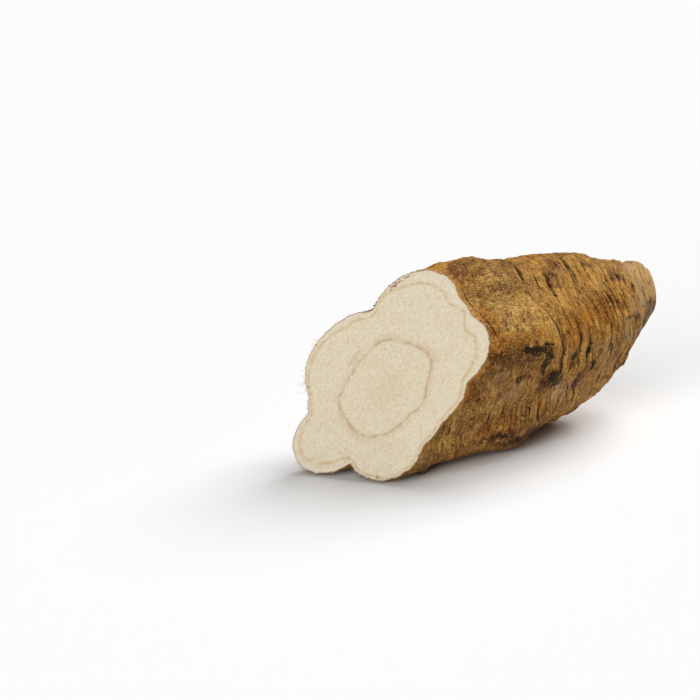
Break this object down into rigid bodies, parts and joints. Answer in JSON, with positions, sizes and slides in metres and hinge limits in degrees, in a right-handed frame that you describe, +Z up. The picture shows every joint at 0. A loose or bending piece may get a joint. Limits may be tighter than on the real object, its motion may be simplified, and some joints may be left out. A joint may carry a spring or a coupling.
{
  "type": "kudzu root",
  "caption": "Cut length of a kudzu storage root, lying on its side, with a slanting knife cut at one end and a blunt tip at the other.",
  "frame": {"origin": "on the surface that the root lies on, under the middle of its bounding box", "axes": "+X along the root, from the cut end to the blunt tip; +Z up; +Y to the left of +X"},
  "size_m": [0.1856, 0.0744, 0.0913],
  "materials": {
    "bark": "dry, wrinkled root bark",
    "flesh": "fresh knife cut, fibrous and starchy"
  },
  "bodies": {
    "root": {"kudzu_root": "bark"}
  },
  "joints": []
}
